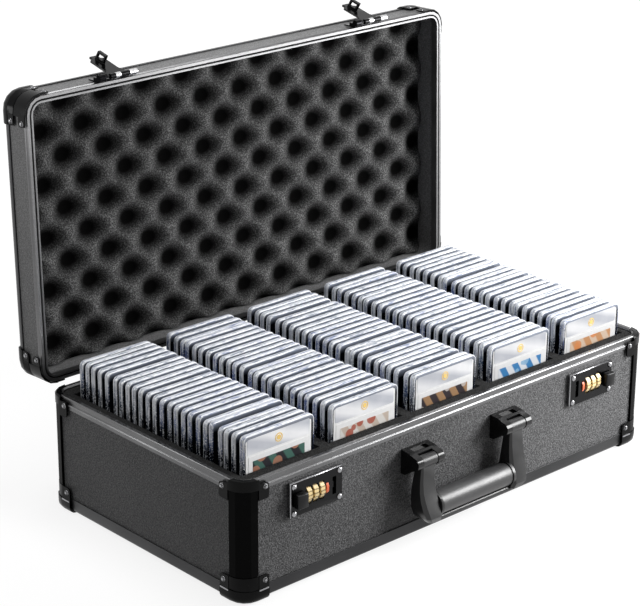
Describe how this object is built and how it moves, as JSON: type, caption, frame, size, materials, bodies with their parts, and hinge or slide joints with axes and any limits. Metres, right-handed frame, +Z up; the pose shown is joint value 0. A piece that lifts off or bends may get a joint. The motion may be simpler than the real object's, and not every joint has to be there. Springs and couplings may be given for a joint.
{
  "type": "graded card storage case",
  "caption": "Aluminium-framed latched case, lid open, with pocketed foam holding rows of graded card slabs, combination locks, hasps and a carrying handle.",
  "frame": {"origin": "centre of the bottom panel's flat underside", "axes": "+X along the front towards the right-hand lock, +Y towards the hinges at the back, +Z up"},
  "size_m": [0.531, 0.3601, 0.412],
  "materials": {
    "pebbled_panel": "pebbled dark grey laminate",
    "dark_panel": "matte",
    "dark_aluminium": "satin, dark anodised",
    "lid_panel": "satin grey laminate",
    "black_plastic": "moulded, semi-gloss",
    "chrome": "polished",
    "black_chrome": "black plated, polished",
    "steel": "bright zinc",
    "insert_foam": null,
    "lid_foam": null,
    "black_rubber": "matte",
    "dial_cream": "gloss",
    "mark_red": "gloss",
    "handle_black": "moulded, satin",
    "grip_rubber": "satin",
    "slab_clear": "clear moulded shells with paper inside"
  },
  "bodies": {
    "base": {"base_bottom_panel": "dark_panel", "base_front_panel": "pebbled_panel", "base_back_panel": "pebbled_panel", "base_left_panel": "pebbled_panel", "base_right_panel": "pebbled_panel", "base_rim_frame": "dark_aluminium", "base_edge_frame": "dark_aluminium", "corner_post_front_left": "black_plastic", "corner_post_front_right": "black_plastic", "corner_post_back_left": "black_plastic", "corner_post_back_right": "black_plastic", "bottom_cap_front_left": "black_plastic", "bottom_cap_front_right": "black_plastic", "bottom_cap_back_left": "black_plastic", "bottom_cap_back_right": "black_plastic", "rim_bracket_front_left": "black_plastic", "rim_bracket_front_right": "black_plastic", "rim_bracket_back_left": "black_plastic", "rim_bracket_back_right": "black_plastic", "foam_insert": "insert_foam", "lock_plate_left": "black_chrome", "lock_plate_right": "black_chrome", "lock_mark_left": "mark_red", "lock_mark_right": "mark_red", "handle_bracket_left": "black_plastic", "handle_bracket_right": "black_plastic", "base_hinge_left": "steel", "base_hinge_right": "steel"},
    "lid": {"lid_hinge_left": "steel", "lid_hinge_right": "steel", "lid_rim_frame": "dark_aluminium", "lid_seal": "black_rubber", "lid_side_band": "lid_panel", "lid_edge_frame": "dark_aluminium", "lid_top_panel": "lid_panel", "lid_foam": "lid_foam", "lid_corner_front_left": "black_plastic", "lid_corner_front_right": "black_plastic", "lid_corner_back_left": "black_plastic", "lid_corner_back_right": "black_plastic", "hasp_plate_left": "chrome", "hasp_plate_right": "chrome"},
    "hasp_left": {"hasp_arm_left": "steel"},
    "hasp_right": {"hasp_arm_right": "steel"},
    "handle": {"handle_frame": "handle_black", "handle_grip": "grip_rubber"},
    "slide_left": {"lock_slide_left": "black_chrome"},
    "slide_right": {"lock_slide_right": "black_chrome"},
    "dial_left_1": {"lock_dial_left_1": "dial_cream"},
    "dial_left_2": {"lock_dial_left_2": "dial_cream"},
    "dial_left_3": {"lock_dial_left_3": "dial_cream"},
    "dial_right_1": {"lock_dial_right_1": "dial_cream"},
    "dial_right_2": {"lock_dial_right_2": "dial_cream"},
    "dial_right_3": {"lock_dial_right_3": "dial_cream"},
    "row_1": {"card_row_1": "slab_clear"},
    "row_2": {"card_row_2": "slab_clear"},
    "row_3": {"card_row_3": "slab_clear"},
    "row_4": {"card_row_4": "slab_clear"},
    "row_5": {"card_row_5": "slab_clear"}
  },
  "joints": [
    {"name": "lid_hinge", "type": "hinge", "parent": "base", "child": "lid", "pos_m": [0, 0.1415, 0.10865], "axis": [-1, 0, 0], "range_deg": [-91.8, 0], "deforming": ["lid_foam"]},
    {"name": "hasp_left_swing", "type": "hinge", "parent": "lid", "child": "hasp_left", "pos_m": [-0.1595, 0.15204, 0.39136], "axis": [-1, 0, 0], "range_deg": [-165, 0], "stiffness_Nm_per_rad": 0.01, "springref_deg": 5.73},
    {"name": "hasp_right_swing", "type": "hinge", "parent": "lid", "child": "hasp_right", "pos_m": [0.1595, 0.15204, 0.39136], "axis": [-1, 0, 0], "range_deg": [-165, 0], "stiffness_Nm_per_rad": 0.01, "springref_deg": 5.73},
    {"name": "handle_swing", "type": "hinge", "parent": "base", "child": "handle", "pos_m": [0, -0.1525, 0.0788], "axis": [-1, 0, 0], "range_deg": [0, 95]},
    {"name": "slide_left_push", "type": "slide", "parent": "base", "child": "slide_left", "axis": [-1, 0, 0], "range_m": [0, 0.0035], "stiffness_N_per_m": 250, "springref_m": -0.002},
    {"name": "slide_right_push", "type": "slide", "parent": "base", "child": "slide_right", "axis": [1, 0, 0], "range_m": [0, 0.0035], "stiffness_N_per_m": 250, "springref_m": -0.002},
    {"name": "dial_left_1_turn", "type": "hinge", "parent": "base", "child": "dial_left_1", "pos_m": [-0.1745, -0.1323, 0.0818], "axis": [1, 0, 0], "continuous": true},
    {"name": "dial_left_2_turn", "type": "hinge", "parent": "base", "child": "dial_left_2", "pos_m": [-0.182, -0.1323, 0.0818], "axis": [1, 0, 0], "continuous": true},
    {"name": "dial_left_3_turn", "type": "hinge", "parent": "base", "child": "dial_left_3", "pos_m": [-0.1895, -0.1323, 0.0818], "axis": [1, 0, 0], "continuous": true},
    {"name": "dial_right_1_turn", "type": "hinge", "parent": "base", "child": "dial_right_1", "pos_m": [0.1745, -0.1323, 0.0818], "axis": [1, 0, 0], "continuous": true},
    {"name": "dial_right_2_turn", "type": "hinge", "parent": "base", "child": "dial_right_2", "pos_m": [0.182, -0.1323, 0.0818], "axis": [1, 0, 0], "continuous": true},
    {"name": "dial_right_3_turn", "type": "hinge", "parent": "base", "child": "dial_right_3", "pos_m": [0.1895, -0.1323, 0.0818], "axis": [1, 0, 0], "continuous": true},
    {"name": "row_1_lift", "type": "slide", "parent": "base", "child": "row_1", "axis": [0, 0, 1], "range_m": [0, 0.15]},
    {"name": "row_2_lift", "type": "slide", "parent": "base", "child": "row_2", "axis": [0, 0, 1], "range_m": [0, 0.15]},
    {"name": "row_3_lift", "type": "slide", "parent": "base", "child": "row_3", "axis": [0, 0, 1], "range_m": [0, 0.15]},
    {"name": "row_4_lift", "type": "slide", "parent": "base", "child": "row_4", "axis": [0, 0, 1], "range_m": [0, 0.15]},
    {"name": "row_5_lift", "type": "slide", "parent": "base", "child": "row_5", "axis": [0, 0, 1], "range_m": [0, 0.15]}
  ]
}
